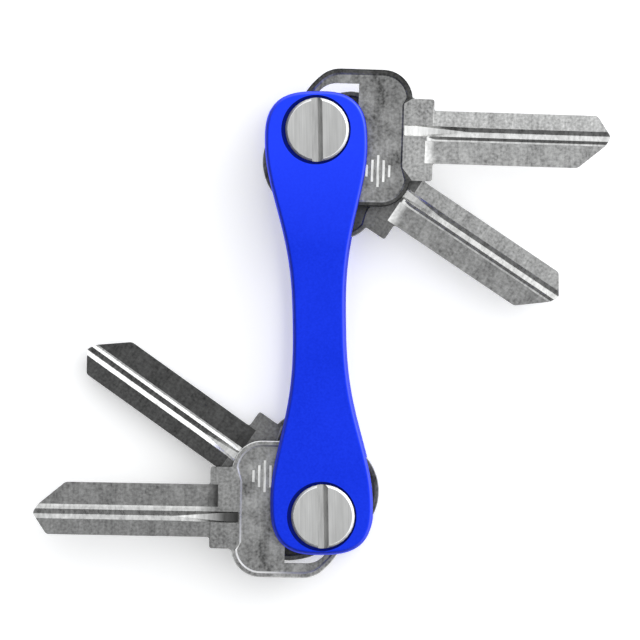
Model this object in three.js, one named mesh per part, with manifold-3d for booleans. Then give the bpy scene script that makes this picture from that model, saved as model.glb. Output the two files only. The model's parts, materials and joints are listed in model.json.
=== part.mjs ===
// Pocket key organiser: two blue plates joined at their ends by a threaded post and a slotted screw,
// with two keys turning on each post and spacers filling the layers between them.
//
// Frame, in millimetres: +Y runs along the plates towards the upper post, +X across them, +Z out of
// the front plate. The origin is on the outer face of the back plate, midway between the posts.
import * as THREE from 'three';
import { mergeVertices } from 'three/addons/utils/BufferGeometryUtils.js';
import Module from 'manifold-3d';

const wasm = await Module();
wasm.setup();

// ---- Driving dimensions -------------------------------------------------------------------------

const postSpacing = 65.2;
const postY = postSpacing / 2;

// Plates: a waisted outline that flares to a wide, round end about each post.
const plateThickness = 2.0;
const plateHalfLength = 39.1;
const waistHalfWidth = 4.43;
const endHalfWidth = 8.65;
const flareEnd = 30.3;
const flarePower = 1.37;
const endPower = 2.85;
const plateEdge = 0.45;
const frontPlateShift = -0.2; // the front plate sits to one side in its screw clearance

// Four layers between the plates, counted from the back.
const layerCount = 4;
const layerPitch = 2.2;
const innerBack = plateThickness;
const innerFront = innerBack + layerCount * layerPitch;
const layerMiddle = (layer) => innerBack + (layer - 0.5) * layerPitch;

// Screws and posts.
const headRadius = 5.4;
const headThickness = 1.2;
const headBevel = 0.5;
const recessRadius = 5.85;
const recessDepth = 1.0;
const slotWidth = 1.8;
const slotDepth = 0.65;
const shankRadius = 1.6;
const shankHoleRadius = 2.0;
const shankChamfer = 0.3;
const shankEndRise = 1.5; // from the back plate's inner face
const boreEndRise = 0.6;
const barrelRadius = 2.4;
const barrelBore = 1.75;
const barrelTop = innerFront - 0.4;
const seatRadius = 3.0;
const seatHalfFlat = 2.4;
const seatClearance = 0.12;
const backHeadDrop = 0.1; // the post's head lies this far below the back plate's face
const axialGap = 0.05;

// Spacers: two stacked in every layer that a post leaves empty.
const spacerRadius = 5.0;
const spacerBore = 2.55;
const spacerThickness = 1.0;

// Key, along u from the post towards the tip and across v towards its straight back.
const keyThickness = 2.0;
const keyEdge = 0.12;
const bladeHalf = 4.45;
const bladeRoot = 19.4;
const keyTip = 49.4;
const tipV = 0.9;
const shortChamfer = 2.4; // on the straight back
const longChamfer = 5.5; // on the cut side, bent at the point below
const chamferBend = { back: 0.9, v: -0.6 };
const bowTop = 11.1;
const bowBottom = -12.0;
const bowCornerU = 10.7;
const bowCornerRadius = 5.0;
const bowCornerTurn = 0.1; // where each corner arc ends, in radians short of the key's own direction
const neckStart = 16.2;
const endArc = { u: 8.5, v: 0, r: 12.9 }; // back side of the bow's end
const heelArc = { u: 2.4, v: -3.0, r: 9.0 }; // cut side of the bow's end
const rimBar = 1.7; // metal left between the bow's end and its hole
const holeEdgeU = 6.6;
const holeTop = 8.65;
const holeBottom = -9.3;
const stopTop = 6.35;
const stopBottom = -7.45;
const stripStart = 18.3; // the cut side of the blade is milled thinner from here to the tip
const stripTop = -0.7;
const stripDepth = 0.3;
const wideGroove = { from: 1.95, to: 0.85, depth: 0.55 };
const thinGroove = { from: 0.05, to: -0.5, depth: 0.45 };
const grooveStart = 14.4;
const beyond = 1; // how far a cutter reaches past what it cuts

// Where each key lies at rest: its angle, its layer, and the place of its own axes on the post.
const keys = [
  { name: 'key_upper_front', end: 1, layer: 4, angle: -2.65, u: 0.25, v: -0.6 },
  { name: 'key_lower_front', end: -1, layer: 3, angle: 178.1, u: -0.25, v: -0.5 },
  { name: 'key_upper_rear', end: 1, layer: 2, angle: -34.8, u: 0.35, v: -1.5 },
  { name: 'key_lower_rear', end: -1, layer: 1, angle: 143.6, u: -0.45, v: -0.6 },
];

const arcSteps = 7;
const roundSegments = 32;

// ---- Materials ----------------------------------------------------------------------------------

function metal(name, color, roughness) {
  return new THREE.MeshStandardMaterial({ name, color, roughness, metalness: 1 });
}
const anodisedBlue = () => metal('anodised_blue', 0x2440f0, 0.45);
const brushedSteel = () => metal('brushed_steel', 0xc4c4c2, 0.35);
const spacerSteel = () => metal('spacer_steel', 0x8d8f92, 0.4);
const nickel = () => metal('nickel_key', 0x9d9d9b, 0.4);

// ---- Solids -------------------------------------------------------------------------------------

// A closed geometry as a solid that can be joined and cut.
function solid(geometry) {
  const bare = geometry.clone();
  bare.deleteAttribute('normal');
  bare.deleteAttribute('uv');
  const merged = mergeVertices(bare, 1e-4);
  return new wasm.Manifold(new wasm.Mesh({
    numProp: 3,
    vertProperties: new Float32Array(merged.attributes.position.array),
    triVerts: new Uint32Array(merged.index.array),
  }));
}

function geometryOf(body) {
  const { vertProperties, triVerts } = body.getMesh();
  const geometry = new THREE.BufferGeometry();
  geometry.setAttribute('position', new THREE.BufferAttribute(vertProperties, 3));
  geometry.setIndex(new THREE.BufferAttribute(triVerts, 1));
  geometry.computeVertexNormals();
  return geometry;
}

function box(fromU, toU, fromV, toV, fromZ, toZ) {
  const block = new THREE.BoxGeometry(toU - fromU, toV - fromV, toZ - fromZ);
  return solid(block.translate((fromU + toU) / 2, (fromV + toV) / 2, (fromZ + toZ) / 2));
}

// A round bar about the line x, y from one height to another.
function bar(radius, fromZ, toZ, x = 0, y = 0) {
  const round = new THREE.CylinderGeometry(radius, radius, toZ - fromZ, roundSegments);
  return solid(round.rotateX(Math.PI / 2).translate(x, y, (fromZ + toZ) / 2));
}

// A profile of [radius, height] points turned about Z.
function turned(profile) {
  const points = profile.map(([radius, height]) => new THREE.Vector2(radius, height));
  return new THREE.LatheGeometry(points, roundSegments).rotateX(Math.PI / 2);
}

// A round bar with two flats that face +X and -X.
function flattedBar(radius, halfFlat, fromZ, toZ, y = 0) {
  const reach = radius + beyond;
  const between = box(-halfFlat, halfFlat, y - reach, y + reach, fromZ - beyond, toZ + beyond);
  return bar(radius, fromZ, toZ, 0, y).intersect(between);
}

// Extrudes a shape up from a height, with a small bevel round both faces.
function slab(shape, fromZ, thickness, edge) {
  const plate = new THREE.ExtrudeGeometry(shape, {
    depth: thickness - 2 * edge,
    bevelEnabled: true,
    bevelThickness: edge,
    bevelSize: edge,
    bevelOffset: -edge,
    bevelSegments: 1,
    curveSegments: arcSteps,
  });
  return plate.translate(0, 0, fromZ + edge);
}

// ---- Plates -------------------------------------------------------------------------------------

// Half the plate's width at a distance from its middle.
function plateHalfWidth(distance) {
  if (distance <= flareEnd) {
    const turn = Math.PI * (distance / flareEnd) ** flarePower;
    return waistHalfWidth + (endHalfWidth - waistHalfWidth) * (1 - Math.cos(turn)) / 2;
  }
  const along = (distance - flareEnd) / (plateHalfLength - flareEnd);
  return endHalfWidth * (1 - Math.min(along, 1) ** endPower) ** (1 / endPower);
}

function plateShape() {
  const flareSteps = 12;
  const endSteps = 9;
  const right = [];
  for (let i = 0; i < flareSteps; i += 1) {
    const distance = flareEnd * i / flareSteps;
    right.push(new THREE.Vector2(plateHalfWidth(distance), distance));
  }
  for (let i = 0; i <= endSteps; i += 1) {
    const share = Math.sin(Math.PI / 2 * i / endSteps);
    const distance = flareEnd + (plateHalfLength - flareEnd) * share;
    right.push(new THREE.Vector2(plateHalfWidth(distance), distance));
  }
  const mirrored = (sx, sy) => right.map((p) => new THREE.Vector2(p.x * sx, p.y * sy));
  const outline = [
    ...right,
    ...mirrored(-1, 1).reverse().slice(1),
    ...mirrored(-1, -1).slice(1),
    ...mirrored(1, -1).reverse().slice(1, -1),
  ];
  return new THREE.Shape(outline);
}

function frontPlate() {
  let plate = solid(slab(plateShape(), innerFront, plateThickness, plateEdge));
  const top = innerFront + plateThickness;
  for (const y of [postY, -postY]) {
    plate = plate.subtract(bar(recessRadius, top - recessDepth, top + beyond, 0, y));
    plate = plate.subtract(bar(shankHoleRadius, innerFront - beyond, top, 0, y));
  }
  return geometryOf(plate);
}

function backPlate() {
  let plate = solid(slab(plateShape(), 0, plateThickness, plateEdge));
  for (const y of [postY, -postY]) {
    plate = plate.subtract(bar(recessRadius, -beyond, recessDepth, 0, y));
    const round = seatRadius + seatClearance;
    const halfFlat = seatHalfFlat + seatClearance;
    const seat = flattedBar(round, halfFlat, 0, plateThickness + beyond, y);
    plate = plate.subtract(seat);
  }
  return geometryOf(plate);
}

// ---- Screws, posts and spacers ------------------------------------------------------------------

// A wide-headed screw whose shank runs down into the post; its slot lies along the plates.
function screw() {
  const under = innerFront + plateThickness - recessDepth + axialGap;
  const top = under + headThickness;
  const end = innerBack + shankEndRise;
  const profile = [
    [0, end],
    [shankRadius - shankChamfer, end],
    [shankRadius, end + shankChamfer],
    [shankRadius, under],
    [headRadius, under],
    [headRadius, top - headBevel],
    [headRadius - headBevel, top],
    [0, top],
  ];
  const half = slotWidth / 2;
  const reach = headRadius + beyond;
  const slot = box(-half, half, -reach, reach, top - slotDepth, top + beyond);
  return geometryOf(solid(turned(profile)).subtract(slot));
}

// A flanged barrel, open at the top, held from turning by two flats in the back plate.
function post() {
  const flangeTop = recessDepth - axialGap;
  const shoulder = innerBack - axialGap;
  const boreEnd = innerBack + boreEndRise;
  const profile = [
    [0, backHeadDrop],
    [headRadius - headBevel, backHeadDrop],
    [headRadius, backHeadDrop + headBevel],
    [headRadius, flangeTop],
    [seatRadius, flangeTop],
    [seatRadius, shoulder],
    [barrelRadius, shoulder],
    [barrelRadius, barrelTop],
    [barrelBore, barrelTop],
    [barrelBore, boreEnd],
    [0, boreEnd],
  ];
  const reach = seatRadius + beyond;
  const right = box(seatHalfFlat, reach, -reach, reach, flangeTop, shoulder);
  const left = box(-reach, -seatHalfFlat, -reach, reach, flangeTop, shoulder);
  return geometryOf(solid(turned(profile)).subtract(right).subtract(left));
}

function spacer() {
  const half = spacerThickness / 2;
  return turned([
    [spacerBore, -half],
    [spacerRadius, -half],
    [spacerRadius, half],
    [spacerBore, half],
    [spacerBore, -half],
  ]);
}

// ---- Keys ---------------------------------------------------------------------------------------

// The angle at which one straight line touches both arcs of the bow's end.
const endTangent = Math.atan2(endArc.v - heelArc.v, endArc.u - heelArc.u)
  + Math.acos((heelArc.r - endArc.r) / Math.hypot(endArc.u - heelArc.u, endArc.v - heelArc.v));

// Draws the bow's end, inset by a width, from its upper corner round to its lower one.
function drawBowEnd(path, inset, top, bottom) {
  const endRadius = endArc.r - inset;
  const heelRadius = heelArc.r - inset;
  const start = Math.PI - Math.asin((top - endArc.v) / endRadius);
  const reach = Math.max((bottom - heelArc.v) / heelRadius, -1);
  const finish = Math.PI - Math.asin(reach);
  path.absarc(endArc.u, endArc.v, endRadius, start, endTangent, false);
  path.absarc(heelArc.u, heelArc.v, heelRadius, endTangent, finish, false);
}

function keyShape() {
  const shape = new THREE.Shape();
  drawBowEnd(shape, 0, bowTop, bowBottom);
  // Lower corner of the bow, the stop and the blade's cut side.
  const lower = bowBottom + bowCornerRadius;
  const upper = bowTop - bowCornerRadius;
  shape.absarc(bowCornerU, lower, bowCornerRadius, -Math.PI / 2, -bowCornerTurn, false);
  shape.lineTo(neckStart, stopBottom);
  shape.lineTo(bladeRoot, stopBottom);
  shape.lineTo(bladeRoot, -bladeHalf);
  // Blade with its long and short end chamfers.
  shape.lineTo(keyTip - longChamfer, -bladeHalf);
  shape.lineTo(keyTip - chamferBend.back, chamferBend.v);
  shape.lineTo(keyTip, tipV);
  shape.lineTo(keyTip - shortChamfer, bladeHalf);
  shape.lineTo(bladeRoot, bladeHalf);
  // Upper stop and corner.
  shape.lineTo(bladeRoot, stopTop);
  shape.lineTo(neckStart, stopTop);
  shape.absarc(bowCornerU, upper, bowCornerRadius, bowCornerTurn, Math.PI / 2, false);
  shape.closePath();
  shape.holes.push(keyHole());
  return shape;
}

// The bow's wide hole: it follows the bow's end and is cut straight on the blade's side.
function keyHole() {
  const hole = new THREE.Path();
  drawBowEnd(hole, rimBar, holeTop, holeBottom);
  hole.lineTo(holeEdgeU, holeBottom);
  hole.lineTo(holeEdgeU, holeTop);
  hole.closePath();
  return hole;
}

// A key lying flat about its own mid height, with the same milling on both faces.
function key() {
  let blank = solid(slab(keyShape(), -keyThickness / 2, keyThickness, keyEdge));
  const face = keyThickness / 2;
  const cuts = [
    { start: stripStart, from: stripTop, to: -bladeHalf - beyond, depth: stripDepth },
    { start: grooveStart, ...wideGroove },
    { start: grooveStart, ...thinGroove },
  ];
  const end = keyTip + beyond;
  for (const { start, from, to, depth } of cuts) {
    blank = blank.subtract(box(start, end, to, from, face - depth, face + beyond));
    blank = blank.subtract(box(start, end, to, from, -face - beyond, depth - face));
  }
  return geometryOf(blank);
}

// ---- Assembly -----------------------------------------------------------------------------------

const organiser = new THREE.Group();

function place(parent, name, geometry, material, position = [0, 0, 0]) {
  const mesh = new THREE.Mesh(geometry, material);
  mesh.name = name;
  mesh.position.set(...position);
  parent.add(mesh);
}

place(organiser, 'back_plate', backPlate(), anodisedBlue());
place(organiser, 'front_plate', frontPlate(), anodisedBlue(), [frontPlateShift, 0, 0]);

const ends = [{ word: 'upper', y: postY }, { word: 'lower', y: -postY }];
for (const { word, y } of ends) {
  place(organiser, `post_${word}`, post(), brushedSteel(), [0, y, 0]);
  place(organiser, `screw_${word}`, screw(), brushedSteel(), [0, y, 0]);
}

for (const { name, end, layer, angle, u, v } of keys) {
  const turn = new THREE.Group();
  turn.position.set(0, end * postY, layerMiddle(layer));
  turn.rotation.z = THREE.MathUtils.degToRad(angle);
  place(turn, name, key(), nickel(), [u, v, 0]);
  organiser.add(turn);
}

// Each post's empty layers hold two spacers, one on the other.
const spacerRise = (spacerThickness + axialGap) / 2;
for (const { word, y } of ends) {
  const side = Math.sign(y);
  const filled = keys.filter((item) => item.end === side).map((item) => item.layer);
  for (let layer = 1; layer <= layerCount; layer += 1) {
    if (filled.includes(layer)) continue;
    for (const [half, rise] of [['a', -spacerRise], ['b', spacerRise]]) {
      const at = [0, y, layerMiddle(layer) + rise];
      place(organiser, `spacer_${word}_${layer}${half}`, spacer(), spacerSteel(), at);
    }
  }
}

export default organiser;
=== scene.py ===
"""Looks of a pocket key organiser: two blue anodised plates, slotted screws and four nickel key blanks.

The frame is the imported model's: +Y along the plates, +Z out of the front plate. Proportions and the
points given to the mesh tools are in millimetres, and everything else is in metres. The plates, screws,
posts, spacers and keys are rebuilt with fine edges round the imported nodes.
"""
import json
import math

import bmesh
import bpy
from mathutils import Matrix, Vector

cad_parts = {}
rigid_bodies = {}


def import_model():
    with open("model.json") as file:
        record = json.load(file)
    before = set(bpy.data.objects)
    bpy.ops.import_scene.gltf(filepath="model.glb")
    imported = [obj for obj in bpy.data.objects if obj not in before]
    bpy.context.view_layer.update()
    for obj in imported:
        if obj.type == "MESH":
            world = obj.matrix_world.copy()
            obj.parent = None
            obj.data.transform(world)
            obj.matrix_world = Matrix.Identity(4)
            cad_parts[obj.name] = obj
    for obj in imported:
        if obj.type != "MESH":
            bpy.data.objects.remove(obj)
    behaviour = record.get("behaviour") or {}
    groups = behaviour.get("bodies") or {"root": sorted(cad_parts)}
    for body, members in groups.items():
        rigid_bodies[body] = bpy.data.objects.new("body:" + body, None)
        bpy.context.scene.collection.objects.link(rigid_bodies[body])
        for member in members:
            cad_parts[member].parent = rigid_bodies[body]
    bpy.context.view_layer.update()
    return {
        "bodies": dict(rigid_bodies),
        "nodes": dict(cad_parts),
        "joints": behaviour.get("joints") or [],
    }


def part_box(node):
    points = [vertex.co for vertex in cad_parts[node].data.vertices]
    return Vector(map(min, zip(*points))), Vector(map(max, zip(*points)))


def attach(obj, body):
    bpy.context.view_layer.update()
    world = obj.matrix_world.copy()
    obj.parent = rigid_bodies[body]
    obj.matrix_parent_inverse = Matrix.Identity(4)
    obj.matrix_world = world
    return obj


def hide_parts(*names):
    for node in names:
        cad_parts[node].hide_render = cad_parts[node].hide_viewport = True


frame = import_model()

MM = 0.001

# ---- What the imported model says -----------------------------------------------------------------

JOINTS = {joint["child"]: joint for joint in frame["joints"]}
HOLDER = "holder"
KEY_BODIES = [body for body in frame["bodies"] if body != HOLDER]
POST_Y = JOINTS["key_upper_front"]["pos_m"][1]
ENDS = {"upper": POST_Y, "lower": -POST_Y}
SPACERS = [name for name in frame["nodes"] if name.startswith("spacer")]

# ---- Shared proportions, in millimetres ---------------------------------------------------------

# How far a cutter reaches past what it cuts, and by how little it stays off a face of its own.
PAST = 1.0
SKIN = 0.01

PLATE = {"waist": 4.43, "end": 8.65, "flare": 30.3, "power": 1.37, "round": 2.85, "edge": 0.75}
RECESS = {"radius": 5.85, "depth": 1.0}
SCREW_HOLE_RADIUS = 2.0
POST_SEAT_RADIUS = 3.12
SCREW = {"head": 1.2, "bevel_height": 0.36, "bevel_width": 0.42, "shank": 1.6, "chamfer": 0.3}
SLOT = {"width": 1.85, "depth": 0.65, "slant": 0.8}
POST = {"flange": 0.95, "seat": 3.0, "seat_top": 1.95, "barrel": 2.4, "bore": 1.75, "bore_floor": 2.6}
POST_DOME = {"width": 0.6, "height": 0.42}
SPACER_BORE = 2.55
SPACER_FOOT = 3.8

# The small rounding of each kind of sharp edge.
FINE_EDGE = {"plate": 0.12, "head": 0.12, "slot": 0.07, "post": 0.1, "spacer": 0.14, "key": 0.06}

# A key's own frame: u runs from the middle of the bow's hole along the blade, and v across it.
KEY = {"thickness": 2.0, "blade": 4.45, "root": 19.4, "tip": 49.4, "neck": 16.2, "corner": 0.45}
BOW = {
    "top": 11.1, "bottom": -12.0, "corner_u": 10.7, "corner_radius": 5.0, "corner_turn": 0.1,
    "ease": 1.6,
}

# The bow's end is two arcs with a straight line between them: centre u, centre v and radius of each.
END_ARC = (8.5, 0.0, 12.9)
HEEL_ARC = (2.4, -3.0, 9.0)

# "bar" is the metal left round the bow's end by the hole, and the stops are the neck's shoulders.
HOLE = {"bar": 1.7, "edge": 6.6, "top": 8.65, "bottom": -9.3}
STOPS = {"top": 6.35, "bottom": -7.45}

# The sunk field of the bow, the two flat steps milled along the blade and the emblem's bars.
PANEL = {"rim": 0.7, "depth": 0.2, "draft": 0.3, "edge": 14.3, "top": 5.5, "bottom": -5.3}
STRIP = {"start": 18.0, "top": -0.7, "depth": 0.3, "cutter": 5.0}
LAND = {"start": 19.2, "depth": 0.07, "cutter": 1.0, "overlap": 0.05}
EMBLEM = {"u": 10.2, "v": -6.0, "pitch": 0.95, "half_width": 0.2, "half_height": 2.7, "taper": 0.85}
EMBLEM_DEPTHS = (0.5, 0.03)

# The blade's end, from its lower corner round the point to its upper one: how far each corner is
# back from the tip, and its height.
TIP = ((5.5, -KEY["blade"]), (0.9, -0.6), (0.0, 0.9), (2.4, KEY["blade"]))

# Two V grooves side by side along the blade. Each starts as a flat track as long as "flat" and turns
# into the V over the length "turn". "low_depth" is how deep its lower side stays.
GROOVES = (
    {
        "start": 14.4, "top": 1.95, "middle": 1.0, "bottom": 0.1, "depth": 0.45, "low_depth": 0.0,
        "flat": 2.0, "turn": 9.0,
    },
    {
        "start": 18.2, "top": 0.15, "middle": -0.4, "bottom": -1.1, "depth": 0.26, "low_depth": 0.16,
        "flat": 0.0, "turn": 1.5,
    },
)

# How far in a track's walls lean at its floor, the radius of the cutter that mills both grooves, and
# how far above the face its sloping sides start.
TRACK_WALL = 0.15
GROOVE_CUTTER = 9.0
GROOVE_LIFT = 0.02

# How far the bow lies below the neck, how far that cut reaches past the outline, and the rounding of
# the bow's outer edges.
RIM_DROP = 0.04
RIM_OVERHANG = 0.4
BOW_ROUND = 0.42

# The stretch over which the painted light and shade at the start of the milled grooves, and of the
# strip, fades out.
GROOVE_FADE = (17.0, 22.0)
STRIP_FADE = (18.2, 20.0)

# The material slots of a screw after its plain one.
SLOT_FLOOR, SLOT_WALL, HEAD_BEVEL = 1, 2, 3

# The finishes on one key, in the order of its material slots. What no cutter touches keeps the first.
FINISHES = ("neck", "panel", "milled", "edge", "blade", "strip", "rim", "raised", "flank")
SUNK, MILLED, EDGE, BLADE, CUT_SIDE, RIM, RAISED, FLANK = range(1, len(FINISHES))

# How strong the cloudy patches are on the bow's faces, and elsewhere on a key.
CLOUDS = {"panel": 1.7, "rim": 1.7}
PLAIN_CLOUDS = 0.6

# How each key lies on its post, how strong the painted highlight on its rounded edges is, the
# tones of painted light and shade where its grooves and its strip start, and how pale each
# finish is. The four keys are one nickel blank, so their tones are painted light and shade: each
# key's finishes are painted as bright as the light falls on them, down to an almost black bow
# edge on the upper front key, and the upper flanks of the grooves have a tone of their own for
# the light and shade on them.
KEYS = {
    "key_upper_front": {
        "angle": -2.65, "u": 0.25, "v": -0.6, "edge_highlight": 0.0, "start": (0.85, 0.85),
        "tones": (0.36, 0.21, 0.50, 0.03, 0.46, 0.35, 0.07, 0.75, 0.36),
    },
    "key_lower_front": {
        "angle": 178.1, "u": -0.25, "v": -0.5, "edge_highlight": 0.9, "start": (0.08, 0.09),
        "tones": (0.25, 0.24, 0.80, 0.60, 0.21, 0.215, 0.27, 0.60, 0.42),
    },
    "key_upper_rear": {
        "angle": -34.8, "u": 0.35, "v": -1.5, "edge_highlight": 0.4, "start": (0.75, 0.75),
        "tones": (0.15, 0.08, 0.36, 0.15, 0.34, 0.25, 0.12, 0.60, 0.98),
    },
    "key_lower_rear": {
        "angle": 143.6, "u": -0.45, "v": -0.6, "edge_highlight": 0.4, "start": (0.70, 0.06),
        "tones": (0.17, 0.06, 0.50, 0.12, 0.07, 0.07, 0.12, 0.50, 0.80),
    },
}


# ---- Mesh tools ---------------------------------------------------------------------------------


def arc(centre_u, centre_v, radius, start, finish, steps):
    """Points on an arc, angles in radians."""
    turns = [start + (finish - start) * i / steps for i in range(steps + 1)]
    return [(centre_u + radius * math.cos(t), centre_v + radius * math.sin(t)) for t in turns]


def curve(start, corner, finish, steps=5):
    """Points on a smooth curve that cuts a corner."""
    turns = [i / steps for i in range(steps + 1)]
    return [tuple(start * (1 - t) ** 2 + corner * 2 * t * (1 - t) + finish * t * t) for t in turns]


def rounded(profile, radius, steps=4):
    """A line of points with every corner between its two ends rounded."""
    points = [profile[0]]
    for before, corner, after in zip(profile, profile[1:], profile[2:]):
        first, second = Vector(before) - Vector(corner), Vector(after) - Vector(corner)
        reach = min(radius, first.length / 2.2, second.length / 2.2)
        start = Vector(corner) + first.normalized() * reach
        finish = Vector(corner) + second.normalized() * reach
        points += curve(start, Vector(corner), finish, steps)
    points.append(profile[-1])
    return points


def new_piece(name, build):
    """An object whose mesh the given function fills."""
    mesh = bpy.data.meshes.new(name)
    shape = bmesh.new()
    build(shape)
    bmesh.ops.remove_doubles(shape, verts=shape.verts, dist=1e-7)
    bmesh.ops.recalc_face_normals(shape, faces=shape.faces)
    shape.to_mesh(mesh)
    shape.free()
    piece = bpy.data.objects.new(name, mesh)
    bpy.context.scene.collection.objects.link(piece)
    return piece


def loft(name, rings, finishes=None, end_finish=0):
    """A closed solid through rings of points in millimetres. finishes(i, j) is the material slot of
    side j between rings i and i + 1; without it every side has the first. Twisted sides are split
    into triangles, so that every face is flat."""

    def build(shape):
        loops = [[shape.verts.new([c * MM for c in point]) for point in ring] for ring in rings]
        shape.faces.new(loops[0]).material_index = end_finish
        shape.faces.new(loops[-1]).material_index = end_finish
        for i, (before, after) in enumerate(zip(loops, loops[1:])):
            for j in range(len(before)):
                k = (j + 1) % len(before)
                side = shape.faces.new((before[j], before[k], after[k], after[j]))
                side.material_index = finishes(i, j) if finishes else 0
        twisted = []
        for face in shape.faces:
            face.normal_update()
            corner = face.verts[0].co
            if any(abs((vert.co - corner).dot(face.normal)) > 1e-9 for vert in face.verts):
                twisted.append(face)
        bmesh.ops.triangulate(shape, faces=twisted)

    return new_piece(name, build)


def prism(name, outline, low, high, finish=0):
    """A closed prism on an outline in millimetres, with one finish all over."""
    rings = [[(a, b, level) for a, b in outline] for level in (low, high)]
    return loft(name, rings, lambda i, j: finish, finish)


def turned(name, profile, steps=128):
    """A profile of (radius, height) in millimetres turned about Z. It starts and ends on the axis,
    or closes on itself."""

    def build(shape):
        closed = profile[0] == profile[-1]
        points = profile[:-1] if closed else profile
        rings = []
        for radius, height in points:
            if radius == 0:
                rings.append([shape.verts.new((0, 0, height * MM))])
                continue
            ring = []
            for i in range(steps):
                turn = 2 * math.pi * i / steps
                place = (radius * MM * math.cos(turn), radius * MM * math.sin(turn), height * MM)
                ring.append(shape.verts.new(place))
            rings.append(ring)
        pairs = list(zip(rings, rings[1:] + (rings[:1] if closed else [])))
        for below, above in pairs:
            for i in range(steps):
                j = (i + 1) % steps
                corners = [below[i % len(below)], below[j % len(below)]]
                corners += [above[j % len(above)], above[i % len(above)]]
                shape.faces.new(list(dict.fromkeys(corners)))

    return new_piece(name, build)


def settle(piece):
    """Turns a piece's modifiers into its mesh."""
    depsgraph = bpy.context.evaluated_depsgraph_get()
    mesh = bpy.data.meshes.new_from_object(piece.evaluated_get(depsgraph))
    old = piece.data
    piece.modifiers.clear()
    piece.data = mesh
    bpy.data.meshes.remove(old)


def carve(piece, cutters, operation="DIFFERENCE"):
    """Cuts the cutters out of a piece, or joins them to it, and removes them."""
    for cutter in cutters:
        step = piece.modifiers.new("carve", "BOOLEAN")
        step.operation = operation
        step.solver = "EXACT"
        step.object = cutter
    settle(piece)
    for cutter in cutters:
        bpy.data.objects.remove(cutter)


def soften(piece, width, segments=3, angle=30, crisp=40):
    """Rounds the sharp edges and shades the faces smoothly between them."""
    bevel = piece.modifiers.new("edges", "BEVEL")
    bevel.width = width * MM
    bevel.segments = segments
    bevel.limit_method = "ANGLE"
    bevel.angle_limit = math.radians(angle)
    bevel.miter_outer = "MITER_ARC"
    bevel.use_clamp_overlap = True
    settle(piece)
    shade(piece, crisp)


def round_edges(piece, width, segments, wanted, finish=0):
    """Rounds the edges that wanted() picks, and gives the rounding a finish."""
    shape = bmesh.new()
    shape.from_mesh(piece.data)
    edges = [edge for edge in shape.edges if wanted(edge)]
    bmesh.ops.bevel(
        shape, geom=edges, offset=width * MM, offset_type="OFFSET", segments=segments, profile=0.5,
        affect="EDGES", clamp_overlap=True, material=finish,
    )
    shape.to_mesh(piece.data)
    shape.free()


def shade(piece, angle=40):
    """Smooth shading that stays crisp at sharp edges and flat on wide faces. The weighting works on
    areas and drops very small ones, so it is done at a thousand times the size."""
    piece.data.transform(Matrix.Scale(1 / MM, 4))
    shape = bmesh.new()
    shape.from_mesh(piece.data)
    for face in shape.faces:
        face.smooth = True
    for edge in shape.edges:
        edge.smooth = len(edge.link_faces) == 2 and edge.calc_face_angle(0) < math.radians(angle)
    shape.to_mesh(piece.data)
    shape.free()
    weighted = piece.modifiers.new("normals", "WEIGHTED_NORMAL")
    weighted.keep_sharp = True
    settle(piece)
    piece.data.transform(Matrix.Scale(MM, 4))


# ---- Materials ----------------------------------------------------------------------------------


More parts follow.
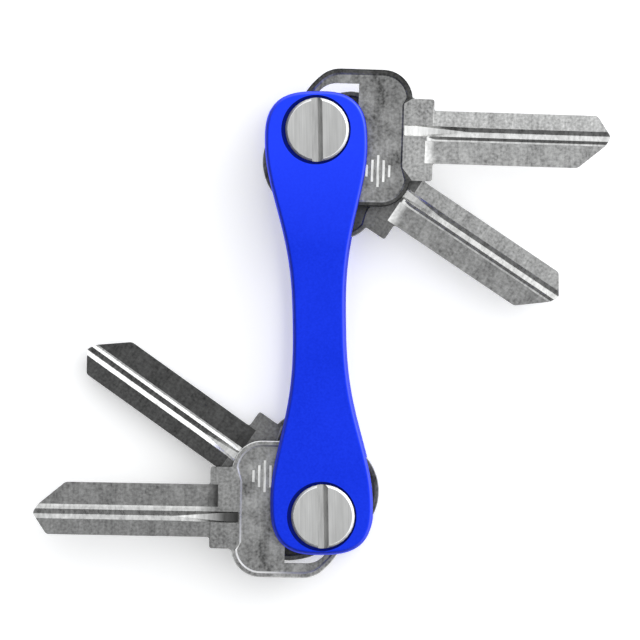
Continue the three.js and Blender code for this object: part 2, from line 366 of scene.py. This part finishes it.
class Surface:
    """A node material with short ways to add the nodes that every surface here uses."""

    def __init__(self, name, metallic, roughness):
        self.material = bpy.data.materials.new(name)
        self.material.use_nodes = True
        self.nodes = self.material.node_tree.nodes
        self.links = self.material.node_tree.links
        self.shader = self.nodes["Principled BSDF"]
        self.shader.inputs["Metallic"].default_value = metallic
        self.shader.inputs["Roughness"].default_value = roughness
        self.place = self.nodes.new("ShaderNodeTexCoord").outputs["Object"]

    def noise(self, scale, detail=4.0, stretch=(1, 1, 1)):
        """Noise with this many features per metre, drawn out by the stretch."""
        mapping = self.nodes.new("ShaderNodeMapping")
        mapping.inputs["Scale"].default_value = [scale * s for s in stretch]
        self.links.new(self.place, mapping.inputs["Vector"])
        texture = self.nodes.new("ShaderNodeTexNoise")
        texture.inputs["Scale"].default_value = 1.0
        texture.inputs["Detail"].default_value = detail
        self.links.new(mapping.outputs["Vector"], texture.inputs["Vector"])
        return texture.outputs["Fac"]

    def spread(self, value, low, high, from_low=0.3, from_high=0.7):
        """The value's middle range spread between two limits."""
        node = self.nodes.new("ShaderNodeMapRange")
        node.inputs["From Min"].default_value = from_low
        node.inputs["From Max"].default_value = from_high
        node.inputs["To Min"].default_value = low
        node.inputs["To Max"].default_value = high
        self.links.new(value, node.inputs["Value"])
        return node.outputs["Result"]

    def fade(self, axis, first, last):
        """0 before the first place along one of the piece's axes and 1 beyond the last."""
        split = self.nodes.new("ShaderNodeSeparateXYZ")
        self.links.new(self.place, split.inputs[0])
        return self.spread(split.outputs[axis], 0.0, 1.0, first * MM, last * MM)

    def blend(self, share, first, second):
        """Mixes two colours, each a tuple or a socket."""
        node = self.nodes.new("ShaderNodeMix")
        node.data_type = "RGBA"
        self.feed(node.inputs[0], share)
        self.feed(node.inputs[6], first)
        self.feed(node.inputs[7], second)
        return node.outputs[2]

    def math(self, operation, first, second):
        """One sum of two values, each a number or a socket."""
        node = self.nodes.new("ShaderNodeMath")
        node.operation = operation
        self.feed(node.inputs[0], first)
        self.feed(node.inputs[1], second)
        return node.outputs[0]

    def mixed(self, *parts):
        """Noises added about their middle, each with a weight; the result lies about 0.5."""
        total = 0.5 - sum(weight for _, weight in parts) / 2
        for noise, weight in parts:
            node = self.nodes.new("ShaderNodeMath")
            node.operation = "MULTIPLY_ADD"
            self.feed(node.inputs[0], noise)
            node.inputs[1].default_value = weight
            self.feed(node.inputs[2], total)
            total = node.outputs[0]
        return total

    def feed(self, socket, value):
        """Gives an input a socket's value, a colour or a number."""
        if isinstance(value, bpy.types.NodeSocket):
            self.links.new(value, socket)
        elif isinstance(value, tuple):
            socket.default_value = (*value, 1.0)
        else:
            socket.default_value = value

    def edges(self, steep=0.1):
        """How far a point is on a rounded edge: 0 on the flat faces and the walls, 1 between them."""
        split = self.nodes.new("ShaderNodeSeparateXYZ")
        self.links.new(self.nodes.new("ShaderNodeTexCoord").outputs["Normal"], split.inputs[0])
        upright = self.math("ABSOLUTE", split.outputs["Z"], 0.0)
        off_wall = self.spread(upright, 0.0, 1.0, steep, steep + 0.3)
        off_face = self.spread(upright, 1.0, 0.0, 0.85, 0.97)
        return self.math("MULTIPLY", off_wall, off_face)

    def bump(self, height, strength, distance):
        """Raises the surface by a value, with the full height in millimetres."""
        node = self.nodes.new("ShaderNodeBump")
        node.inputs["Strength"].default_value = strength
        node.inputs["Distance"].default_value = distance * MM
        self.links.new(height, node.inputs["Height"])
        self.links.new(node.outputs["Normal"], self.shader.inputs["Normal"])

    def finish(self, colour, roughness):
        """Joins the colour and the roughness to the shader and gives the material."""
        self.links.new(colour, self.shader.inputs["Base Color"])
        self.links.new(roughness, self.shader.inputs["Roughness"])
        return self.material


def grey(value):
    return (value, value, value * 0.985)


def anodised_blue():
    """Fine satin anodising: a blasted grain under clear colour, with a painted sheen that makes the
    upper end paler and a painted highlight on the rounded edges."""
    surface = Surface("anodised_blue", 0.92, 0.42)
    grain = surface.noise(2600, 3)
    cloud = surface.noise(70, 2)
    base = surface.blend(surface.spread(cloud, 0, 1), (0.004, 0.028, 0.66), (0.007, 0.034, 0.74))
    # Painted sheen: the blue turns paler towards the upper end of each plate, where the light falls.
    base = surface.blend(surface.fade("Y", 12, 30), base, (0.016, 0.052, 0.93))
    speckle = surface.spread(grain, 0.0, 0.25)
    base = surface.blend(speckle, base, (0.02, 0.07, 1.0))
    # Painted highlight: the rounded edges of the plates turn a paler violet.
    edge_highlight = surface.math("MULTIPLY", surface.edges(0.4), 0.16)
    base = surface.blend(edge_highlight, base, (0.36, 0.38, 1.0))
    surface.bump(grain, 0.25, 0.012)
    return surface.finish(base, surface.spread(surface.noise(2500, 5), 0.38, 0.5))


def recess_shade_blue():
    """The anodised floor and wall of a screw's recess, painted dark as the shade that falls in it, with
    a mottled tone.
    """
    surface = Surface("recess_shade_blue", 0.9, 0.5)
    shade_mottle = surface.noise(900, 4)
    base = surface.blend(surface.spread(shade_mottle, 0, 1), (0.003, 0.010, 0.18), (0.006, 0.022, 0.42))
    return surface.finish(base, surface.spread(shade_mottle, 0.45, 0.7))


def brushed_steel():
    """Stainless steel brushed along Y."""
    surface = Surface("brushed_steel", 1.0, 0.32)
    lines = surface.noise(2600, 5, (1, 0.03, 1))
    broad = surface.noise(420, 3, (1, 0.3, 1))
    base = surface.blend(surface.spread(lines, 0, 1), grey(0.40), grey(0.58))
    base = surface.blend(surface.spread(broad, 0.0, 0.5), base, grey(0.34))
    surface.bump(lines, 0.35, 0.006)
    return surface.finish(base, surface.spread(lines, 0.26, 0.42))


def bevel_highlight_steel():
    """The bevel round a screw's head, painted pale as the highlight that it catches."""
    surface = Surface("bevel_highlight_steel", 1.0, 0.4)
    grain = surface.noise(1800, 4)
    base = surface.blend(surface.spread(grain, 0, 1), grey(0.80), grey(0.95))
    return surface.finish(base, surface.spread(grain, 0.36, 0.46))


def slot_steel(name, tone):
    """The sawn slot of a screw: rougher steel, with a tone of its own on its floor and on its wall."""
    surface = Surface(name, 1.0, 0.5)
    grain = surface.noise(2600, 4, (1, 0.1, 1))
    base = surface.blend(surface.spread(grain, 0, 1), grey(tone * 0.8), grey(tone * 1.2))
    return surface.finish(base, surface.spread(grain, 0.45, 0.6))


def turned_steel():
    """Rolled and punched stainless steel of the spacers."""
    surface = Surface("spacer_steel", 1.0, 0.4)
    grain = surface.noise(2600, 5)
    base = surface.blend(surface.spread(grain, 0, 1), grey(0.34), grey(0.48))
    surface.bump(grain, 0.3, 0.006)
    return surface.finish(base, surface.spread(grain, 0.34, 0.5))


def nickel(name, tone, edge_highlight, clouds, start=None):
    """Grainy nickel plating with fine lines across the blade and cloudy patches. Its rounded edges
    may carry a painted highlight, and it may start with a tone of painted light and shade: start is
    (tone, first, last)."""
    surface = Surface(name, 1.0, 0.4)
    grain = surface.noise(2100, 4)
    lines = surface.noise(1700, 3, (1, 0.1, 1))
    patches = surface.noise(260, 4)
    share = surface.mixed((grain, 1.25), (lines, 0.6), (patches, clouds))
    base = surface.blend(share, grey(tone * 0.3), grey(tone * 1.7))
    if edge_highlight:
        # Painted highlight: the rounded edges turn pale grey, as strongly as the key's table gives.
        bright = surface.math("MULTIPLY", surface.edges(), edge_highlight)
        base = surface.blend(bright, base, grey(0.8))
    # Painted light and shade: the strip starts with a tone of its own that fades out along the key.
    if start:
        first = surface.blend(share, grey(start[0] * 0.7), grey(min(start[0] * 1.3, 0.98)))
        base = surface.blend(surface.fade("X", *start[1:]), first, base)
    surface.bump(surface.math("ADD", grain, lines), 0.35, 0.015)
    return surface.finish(base, surface.spread(grain, 0.34, 0.48))


def milled_nickel(name, tone, start=None):
    """Cutter marks in the grooves and on the raised bars; start is as for the plating, a tone of
    painted light and shade.
    """
    surface = Surface(name, 1.0, 0.3)
    lines = surface.noise(2000, 4, (1, 0.15, 1))
    share = surface.mixed((lines, 1.6), (surface.noise(700, 3), 0.8))
    base = surface.blend(share, grey(tone * 0.6), grey(min(tone * 1.4, 0.98)))
    # Painted light and shade: the grooves start with a tone of their own that fades out along the key.
    if start:
        first = surface.blend(share, grey(start[0] * 0.7), grey(min(start[0] * 1.3, 0.98)))
        base = surface.blend(surface.fade("X", *start[1:]), first, base)
    surface.bump(lines, 0.3, 0.01)
    return surface.finish(base, surface.spread(lines, 0.24, 0.36))


def floor_white():
    """Matt white paper, lit a little from within so that it stays white between the lamps."""
    surface = Surface("floor", 0.0, 0.9)
    tint = surface.noise(40, 3)
    base = surface.blend(surface.spread(tint, 0, 1), (0.93, 0.93, 0.93), (0.95, 0.95, 0.95))
    surface.shader.inputs["Emission Color"].default_value = (1, 1, 1, 1)
    surface.shader.inputs["Emission Strength"].default_value = 0.3
    return surface.finish(base, surface.spread(tint, 0.85, 0.95))


# ---- Plates -------------------------------------------------------------------------------------


def plate_half_width(distance, half_length):
    """Half the plate's width at a distance from its middle: a cosine flare, then a rounded end."""
    if distance <= PLATE["flare"]:
        turn = math.pi * (distance / PLATE["flare"]) ** PLATE["power"]
        return PLATE["waist"] + (PLATE["end"] - PLATE["waist"]) * (1 - math.cos(turn)) / 2
    along = min((distance - PLATE["flare"]) / (half_length - PLATE["flare"]), 1)
    return PLATE["end"] * (1 - along ** PLATE["round"]) ** (1 / PLATE["round"])


def plate_outline(half_length, flare_steps=40, end_steps=32):
    """The whole outline, from one quarter mirrored twice. The points crowd together at the ends."""
    flare = [PLATE["flare"] * i / flare_steps for i in range(flare_steps)]
    share = [math.sin(math.pi / 2 * i / end_steps) for i in range(end_steps + 1)]
    ends = [PLATE["flare"] + (half_length - PLATE["flare"]) * s for s in share]
    right = [(plate_half_width(d, half_length), d) for d in flare + ends]
    upper = right + [(-x, y) for x, y in right[::-1]][1:]
    return upper + [(-x, -y) for x, y in upper[1:-1]]


def plate(node, facing):
    """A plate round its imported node; facing is 1 where the recesses open upwards, -1 downwards."""
    low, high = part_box(node)
    middle = (low + high) / 2
    half_length = (high.y - low.y) / 2 / MM
    outline = [(x + middle.x / MM, y) for x, y in plate_outline(half_length)]
    bottom, top = low.z / MM, high.z / MM
    piece = prism(node + "_fine", outline, bottom, top)
    round_edges(piece, PLATE["edge"], 5, lambda edge: edge.verts[0].co.z == edge.verts[1].co.z)
    outer = top if facing > 0 else bottom
    floor = outer - facing * RECESS["depth"]
    cutters = []
    for y in ENDS.values():
        shift = (middle.x / MM, y / MM)
        recess = arc(*shift, RECESS["radius"], 0, 2 * math.pi, 96)[:-1]
        low_end, high_end = sorted((floor, outer + facing * PAST))
        # The recess and the hole take the second material, which paints the shade in them.
        cutters.append(prism("recess", recess, low_end, high_end, 1))
        hole_radius = SCREW_HOLE_RADIUS if facing > 0 else POST_SEAT_RADIUS
        hole = arc(*shift, hole_radius, 0, 2 * math.pi, 48)[:-1]
        cutters.append(prism("hole", hole, bottom - PAST, top + PAST, 1))
    piece.data.materials.append(None)
    piece.data.materials.append(None)
    carve(piece, cutters)
    soften(piece, FINE_EDGE["plate"], 2)
    return piece


# ---- Screws, posts and spacers ------------------------------------------------------------------


def screw_slot(top, reach):
    """The cutter of a screw's slot, with one upright wall and one that slants."""
    half = SLOT["width"] / 2
    floor = top - SLOT["depth"]
    section = [(-half, top + PAST), (-half, floor), (half - SLOT["slant"], floor)]
    section += [(half, top), (half, top + PAST)]
    rings = [[(x, y, z) for x, z in section] for y in (-reach, reach)]
    return loft("slot", rings, lambda i, j: SLOT_FLOOR if j == 1 else SLOT_WALL)


def screw(end):
    """A turned screw with a bevelled head and a slot along Y."""
    node = "screw_" + end
    low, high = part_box(node)
    bottom, top = low.z / MM, high.z / MM
    radius = (high.x - low.x) / 2 / MM
    shank, chamfer = SCREW["shank"], SCREW["chamfer"]
    under = top - SCREW["head"]
    bevel_foot = top - SCREW["bevel_height"]
    profile = [(0, bottom), (shank - chamfer, bottom), (shank, bottom + chamfer), (shank, under)]
    profile += [(radius, under), (radius, bevel_foot), (radius - SCREW["bevel_width"], top), (0, top)]
    piece = turned(node + "_fine", rounded(profile, FINE_EDGE["head"]))
    for polygon in piece.data.polygons:
        if polygon.center.z > bevel_foot * MM and 0.3 < polygon.normal.z < 0.98:
            polygon.material_index = HEAD_BEVEL
    for _ in range(HEAD_BEVEL + 1):
        piece.data.materials.append(None)
    carve(piece, [screw_slot(top, radius + PAST)])
    soften(piece, FINE_EDGE["slot"], 2, 50, 30)
    piece.location = (0, ENDS[end], 0)
    return piece


def post(end):
    """A turned post: a flange with a low dome, the part that sits in the plate, and the barrel."""
    node = "post_" + end
    low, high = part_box(node)
    bottom, top = low.z / MM, high.z / MM
    radius = (high.x - low.x) / 2 / MM
    flange, seat, seat_top = POST["flange"], POST["seat"], POST["seat_top"]
    barrel, bore, bore_floor = POST["barrel"], POST["bore"], POST["bore_floor"]
    profile = [(0, bottom), (radius - POST_DOME["width"], bottom)]
    profile += [(radius, bottom + POST_DOME["height"]), (radius, flange), (seat, flange)]
    profile += [(seat, seat_top), (barrel, seat_top), (barrel, top)]
    profile += [(bore, top), (bore, bore_floor), (0, bore_floor)]
    piece = turned(node + "_fine", rounded(profile, FINE_EDGE["post"]))
    shade(piece)
    piece.location = (0, ENDS[end], 0)
    return piece


def spacer(node):
    """A plain ring with rounded edges. Its section starts and closes in the middle of its foot."""
    low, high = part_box(node)
    middle = (low + high) / 2
    half = (high.z - low.z) / 2 / MM
    outer = (high.x - low.x) / 2 / MM
    foot = (SPACER_FOOT, -half)
    profile = [foot, (outer, -half), (outer, half), (SPACER_BORE, half), (SPACER_BORE, -half), foot]
    piece = turned(node + "_fine", rounded(profile, FINE_EDGE["spacer"]), 96)
    shade(piece)
    piece.location = middle
    return piece


# ---- Keys ---------------------------------------------------------------------------------------


def bow_end(inset, top, bottom, steps=28):
    """The bow's end from its upper corner round to its lower one, inset by a width."""
    (end_u, end_v, end_r), (heel_u, heel_v, heel_r) = END_ARC, HEEL_ARC
    lean = math.atan2(end_v - heel_v, end_u - heel_u)
    touch = lean + math.acos((heel_r - end_r) / math.hypot(end_u - heel_u, end_v - heel_v))
    start = math.pi - math.asin((top - end_v) / (end_r - inset))
    finish = math.pi - math.asin(max((bottom - heel_v) / (heel_r - inset), -1))
    radius = end_r - inset
    corner = Vector((end_u + radius * math.cos(start), top))
    eased = start + BOW["ease"] / radius
    before = corner + Vector((BOW["ease"], 0))
    after = Vector((end_u + radius * math.cos(eased), end_v + radius * math.sin(eased)))
    first = curve(before, corner, after) + arc(end_u, end_v, radius, eased, touch, steps // 2)[1:]
    return first + arc(heel_u, heel_v, heel_r - inset, touch, finish, steps)


def bow_corner(side, inset=0.0, steps=14):
    """One of the bow's two corners on the blade's side: side is 1 above and -1 below."""
    edge = BOW["top"] if side > 0 else BOW["bottom"]
    radius = BOW["corner_radius"]
    centre_v = edge - side * radius
    near, far = side * BOW["corner_turn"], side * math.pi / 2
    start, finish = (near, far) if side > 0 else (far, near)
    return arc(BOW["corner_u"], centre_v, radius - inset, start, finish, steps)


def key_outline():
    """The blank's whole outline, from the bow's upper corner round its end and along the blade."""
    tip, blade, root, neck = KEY["tip"], KEY["blade"], KEY["root"], KEY["neck"]
    points = [(neck, STOPS["bottom"]), (root, STOPS["bottom"]), (root, -blade)]
    points += [(tip - back, v) for back, v in TIP]
    points += [(root, blade), (root, STOPS["top"]), (neck, STOPS["top"])]
    bow = bow_end(0, BOW["top"], BOW["bottom"]) + bow_corner(-1)
    return bow + rounded(points, KEY["corner"]) + bow_corner(1)


def key_hole():
    """The slot-shaped hole, which follows the bow's end and has a straight edge on the blade's side."""
    top, bottom, edge = HOLE["top"], HOLE["bottom"], HOLE["edge"]
    return bow_end(HOLE["bar"], top, bottom) + [(edge, bottom), (edge, top)]


def bow_panel(inset, back=0.0):
    """The bow's field inside a rim: the neck runs a little way into it, from a line that can be
    moved back towards the post."""
    edge, top, bottom = PANEL["edge"] - back, PANEL["top"] - back, PANEL["bottom"] + back
    points = bow_end(inset, BOW["top"] - inset, BOW["bottom"] + inset) + bow_corner(-1, inset)
    return points + [(edge, bottom), (edge, top)] + bow_corner(1, inset)


def sink_panel(side):
    """The cutter of one face's panel, with sloping walls."""
    face = side * KEY["thickness"] / 2
    rim, depth, draft = PANEL["rim"], PANEL["depth"], PANEL["draft"]
    levels = [(draft, face - side * depth), (0, face - side * RIM_DROP), (0, face + side * PAST)]
    rings = [[(u, v, z) for u, v in bow_panel(rim + back, back)] for back, z in levels]
    return loft("panel", rings, lambda i, j: SUNK, SUNK)


def lower_rim(side):
    """The cutter that takes the whole bow a hair below the neck."""
    face = side * KEY["thickness"] / 2
    low, high = sorted((face - side * RIM_DROP, face + side * PAST))
    return prism("rim", bow_panel(-RIM_OVERHANG), low, high, RIM)


def run_out(u, start, depth, cutter):
    """How deep a round cutter has gone at u when it starts at the face: it sinks in along its arc."""
    run = math.sqrt(2 * cutter * depth - depth ** 2)
    left = start + run - u
    if left <= 0:
        return depth
    return depth - cutter + math.sqrt(cutter ** 2 - min(left, run) ** 2)


def stations(start, depth, cutter, steps=10):
    """Places along the key where a milled track needs a section."""
    run = math.sqrt(2 * cutter * depth - depth ** 2)
    return [start + run * i / steps for i in range(steps + 1)]


def mill_flat(side, track, top, bottom, finish):
    """The cutter of a flat milled step that runs to the tip."""
    face = side * KEY["thickness"] / 2
    above = face + side * PAST
    start, depth, cutter = track["start"], track["depth"], track["cutter"]
    rings = []
    for u in stations(start, depth, cutter) + [KEY["tip"] + PAST]:
        sunk = run_out(u, start, depth, cutter) if u > start else -SKIN
        floor = face - side * sunk
        rings.append([(u, bottom, floor), (u, top, floor), (u, top, above), (u, bottom, above)])
    return loft("step", rings, lambda i, j: finish)


def mill_groove(side, groove, turn_steps=8):
    """The cutter of one groove: a flat sunk track where it starts, whose walls lean in to a V."""
    face = side * KEY["thickness"] / 2
    above = face + side * PAST
    start, depth, middle = groove["start"], groove["depth"], groove["middle"]
    top, bottom = groove["top"], groove["bottom"]
    turn_start = start + groove["flat"]
    along = set(stations(start, depth, GROOVE_CUTTER))
    along |= {turn_start + groove["turn"] * i / turn_steps for i in range(turn_steps + 1)}
    rings = []
    for u in sorted(along) + [KEY["tip"] + PAST]:
        sunk = run_out(u, start, depth, GROOVE_CUTTER) if u > start else -GROOVE_LIFT
        share = min(max((u - turn_start) / groove["turn"], 0), 1)
        upper = (top - TRACK_WALL) * (1 - share) + (middle + SKIN) * share
        lower = (bottom + TRACK_WALL) * (1 - share) + (middle - SKIN) * share
        low_sunk = min(groove["low_depth"] - GROOVE_LIFT, sunk)
        points = [(top, -GROOVE_LIFT), (upper, sunk), (lower, sunk), (bottom, low_sunk)]
        ring = [(u, v, face - side * down) for v, down in points]
        rings.append(ring + [(u, bottom, above), (u, top, above)])
    return loft("groove", rings, lambda i, j: FLANK if j == 0 else MILLED)


def emblem(side):
    """A plain lozenge of raised bars on the bow."""
    face = side * KEY["thickness"] / 2
    low, high = sorted(face - side * depth for depth in EMBLEM_DEPTHS)
    bars = []
    for i in range(-2, 3):
        u = EMBLEM["u"] + i * EMBLEM["pitch"]
        left, right = u - EMBLEM["half_width"], u + EMBLEM["half_width"]
        half = EMBLEM["half_height"] - EMBLEM["taper"] * abs(i)
        foot, head = EMBLEM["v"] - half, EMBLEM["v"] + half
        outline = [(left, foot), (right, foot), (right, head), (left, head)]
        bars.append(prism("bar", outline, low, high, RAISED))
    return bars


def on_bow_edge(edge):
    """True for the edges between the bow's outer wall and its two faces."""
    if len(edge.link_faces) != 2:
        return False
    first, second = edge.link_faces
    beside_wall = (first.material_index == EDGE) != (second.material_index == EDGE)
    level = abs(edge.verts[0].co.z - edge.verts[1].co.z) < 1e-7
    return beside_wall and level and abs(first.normal.z - second.normal.z) > 0.9


def key_mesh():
    """One finished blank in its own frame, for all four keys to share."""
    face = KEY["thickness"] / 2
    blade = KEY["blade"]
    piece = prism("key_blank", key_outline(), -face, face)
    for _ in FINISHES:
        piece.data.materials.append(None)
    bow_reach = (KEY["neck"] - 0.5) * MM
    for polygon in piece.data.polygons:
        if abs(polygon.normal.z) < 0.5 and polygon.center.x < bow_reach:
            polygon.material_index = EDGE
    cutters = [prism("hole", key_hole(), -face - PAST, face + PAST, SUNK)]
    for side in (1, -1):
        cutters.append(lower_rim(side))
        cutters.append(sink_panel(side))
        cutters.append(mill_flat(side, STRIP, STRIP["top"], -blade - SKIN, CUT_SIDE))
        land_bottom = GROOVES[0]["middle"] + LAND["overlap"]
        cutters.append(mill_flat(side, LAND, blade + PAST, land_bottom, BLADE))
        cutters += [mill_groove(side, groove) for groove in GROOVES]
    carve(piece, cutters)
    carve(piece, emblem(1) + emblem(-1), "UNION")
    round_edges(piece, BOW_ROUND, 4, on_bow_edge, EDGE)
    soften(piece, FINE_EDGE["key"], 2, 25)
    return piece


def key_materials(body):
    """One material for each of the key's finishes, in the order of its slots, in this key's tones of
    painted light and shade.
    """
    facts = KEYS[body]
    groove_start, strip_start = facts["start"]
    materials = []
    for finish, tone in zip(FINISHES, facts["tones"]):
        name = body + "_" + finish
        clouds = CLOUDS.get(finish, PLAIN_CLOUDS)
        if finish in ("milled", "flank"):
            material = milled_nickel(name, tone, (groove_start, *GROOVE_FADE))
        elif finish == "raised":
            material = milled_nickel(name, tone)
        elif finish == "strip":
            material = nickel(name, tone, facts["edge_highlight"], clouds, (strip_start, *STRIP_FADE))
        else:
            material = nickel(name, tone, facts["edge_highlight"], clouds)
        materials.append(material)
    return materials


def key(body, blank):
    """One of the four keys: a copy of the blank, laid on its post as it lies there."""
    facts = KEYS[body]
    piece = blank.copy()
    piece.data = blank.data.copy()
    piece.name = body + "_fine"
    bpy.context.scene.collection.objects.link(piece)
    joint = JOINTS[body]
    low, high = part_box(body)
    post_place = Matrix.Translation((joint["pos_m"][0], joint["pos_m"][1], (low.z + high.z) / 2))
    turn = Matrix.Rotation(math.radians(facts["angle"]), 4, "Z")
    seat = Matrix.Translation((facts["u"] * MM, facts["v"] * MM, 0))
    piece.matrix_world = post_place @ turn @ seat
    for slot, material in enumerate(key_materials(body)):
        piece.data.materials[slot] = material
    return piece


# ---- Stage --------------------------------------------------------------------------------------


def floor(half=1500, thickness=20, gap=0.02):
    """A thick white slab just below the object."""
    outline = [(-half, -half), (half, -half), (half, half), (-half, half)]
    piece = prism("floor", outline, -thickness, -gap)
    piece.data.materials.append(floor_white())


def lamp():
    """A soft lamp low on the upper right, aimed at the object."""
    place = Vector((0.75, 0.5, 0.42))
    data = bpy.data.lights.new("right", "AREA")
    data.shape = "RECTANGLE"
    data.size, data.size_y = 0.5, 0.4
    data.energy = 2.0
    source = bpy.data.objects.new("right", data)
    bpy.context.scene.collection.objects.link(source)
    source.location = place
    source.rotation_euler = (-place).to_track_quat("-Z", "Y").to_euler()
    source.visible_camera = False


def studio():
    """A white world, bright overhead and on the upper right, and dark low on the lower left."""
    world = bpy.data.worlds.new("studio")
    world.use_nodes = True
    nodes, links = world.node_tree.nodes, world.node_tree.links

    def scaled(value, factor, added):
        """The value times a number, plus a number or a socket."""
        node = nodes.new("ShaderNodeMath")
        node.operation = "MULTIPLY_ADD"
        links.new(value, node.inputs[0])
        node.inputs[1].default_value = factor
        if isinstance(added, (int, float)):
            node.inputs[2].default_value = added
        else:
            links.new(added, node.inputs[2])
        return node.outputs[0]

    split = nodes.new("ShaderNodeSeparateXYZ")
    links.new(nodes.new("ShaderNodeTexCoord").outputs["Generated"], split.inputs[0])
    across, along, up = (split.outputs[axis] for axis in "XYZ")

    # Dark below a slanting horizon and bright above it, and brighter low down than overhead.
    facing = scaled(across, 0.70, scaled(along, 0.56, scaled(up, 1.0, 0.0)))
    ramp = nodes.new("ShaderNodeMapRange")
    ramp.interpolation_type = "SMOOTHSTEP"
    ramp.inputs["To Min"].default_value = 0.06
    ramp.inputs["To Max"].default_value = 1.0
    links.new(facing, ramp.inputs["Value"])
    low_boost = scaled(up, -0.8, 2.0)
    strength = nodes.new("ShaderNodeMath")
    strength.operation = "MULTIPLY"
    links.new(ramp.outputs["Result"], strength.inputs[0])
    links.new(low_boost, strength.inputs[1])
    background = nodes["Background"]
    background.inputs["Color"].default_value = (0.98, 0.99, 1.0, 1.0)
    links.new(strength.outputs[0], background.inputs["Strength"])
    bpy.context.scene.world = world


def camera():
    """Looks straight down on the front plate, turned a little, from far off."""
    view_width = 107.84 * MM
    distance = 1.2
    centre_y = 0.51 * MM
    roll = math.radians(-0.85)
    _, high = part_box("front_plate")
    data = bpy.data.cameras.new("camera")
    data.sensor_width = 36.0
    data.lens = data.sensor_width * distance / view_width
    data.clip_start, data.clip_end = 0.05, 10
    eye = bpy.data.objects.new("camera", data)
    bpy.context.scene.collection.objects.link(eye)
    eye.location = (0.0, centre_y, high.z + distance)
    eye.rotation_euler = (0, 0, roll)
    bpy.context.scene.camera = eye
    bpy.context.scene.view_settings.view_transform = "Standard"


# ---- The object ---------------------------------------------------------------------------------


def wear(piece, node, body=HOLDER, materials=()):
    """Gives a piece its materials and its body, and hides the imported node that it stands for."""
    if materials:
        slots = [polygon.material_index for polygon in piece.data.polygons]
        piece.data.materials.clear()
        for material in materials:
            piece.data.materials.append(material)
        piece.data.polygons.foreach_set("material_index", slots)
    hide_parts(node)
    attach(piece, body)


def build():
    """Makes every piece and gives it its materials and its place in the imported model."""
    blue = [anodised_blue(), recess_shade_blue()]
    washer = [turned_steel()]
    steel = brushed_steel()
    slotted = [steel, slot_steel("slot_floor", 0.46), slot_steel("slot_wall", 0.55), bevel_highlight_steel()]
    wear(plate("front_plate", 1), "front_plate", materials=blue)
    wear(plate("back_plate", -1), "back_plate", materials=blue)
    for end in ENDS:
        wear(screw(end), "screw_" + end, materials=slotted)
        wear(post(end), "post_" + end, materials=[steel])
    for node in SPACERS:
        wear(spacer(node), node, materials=washer)
    blank = key_mesh()
    for body in KEY_BODIES:
        wear(key(body, blank), body, body)
    bpy.data.objects.remove(blank)


camera()
lamp()
studio()
floor()
build()
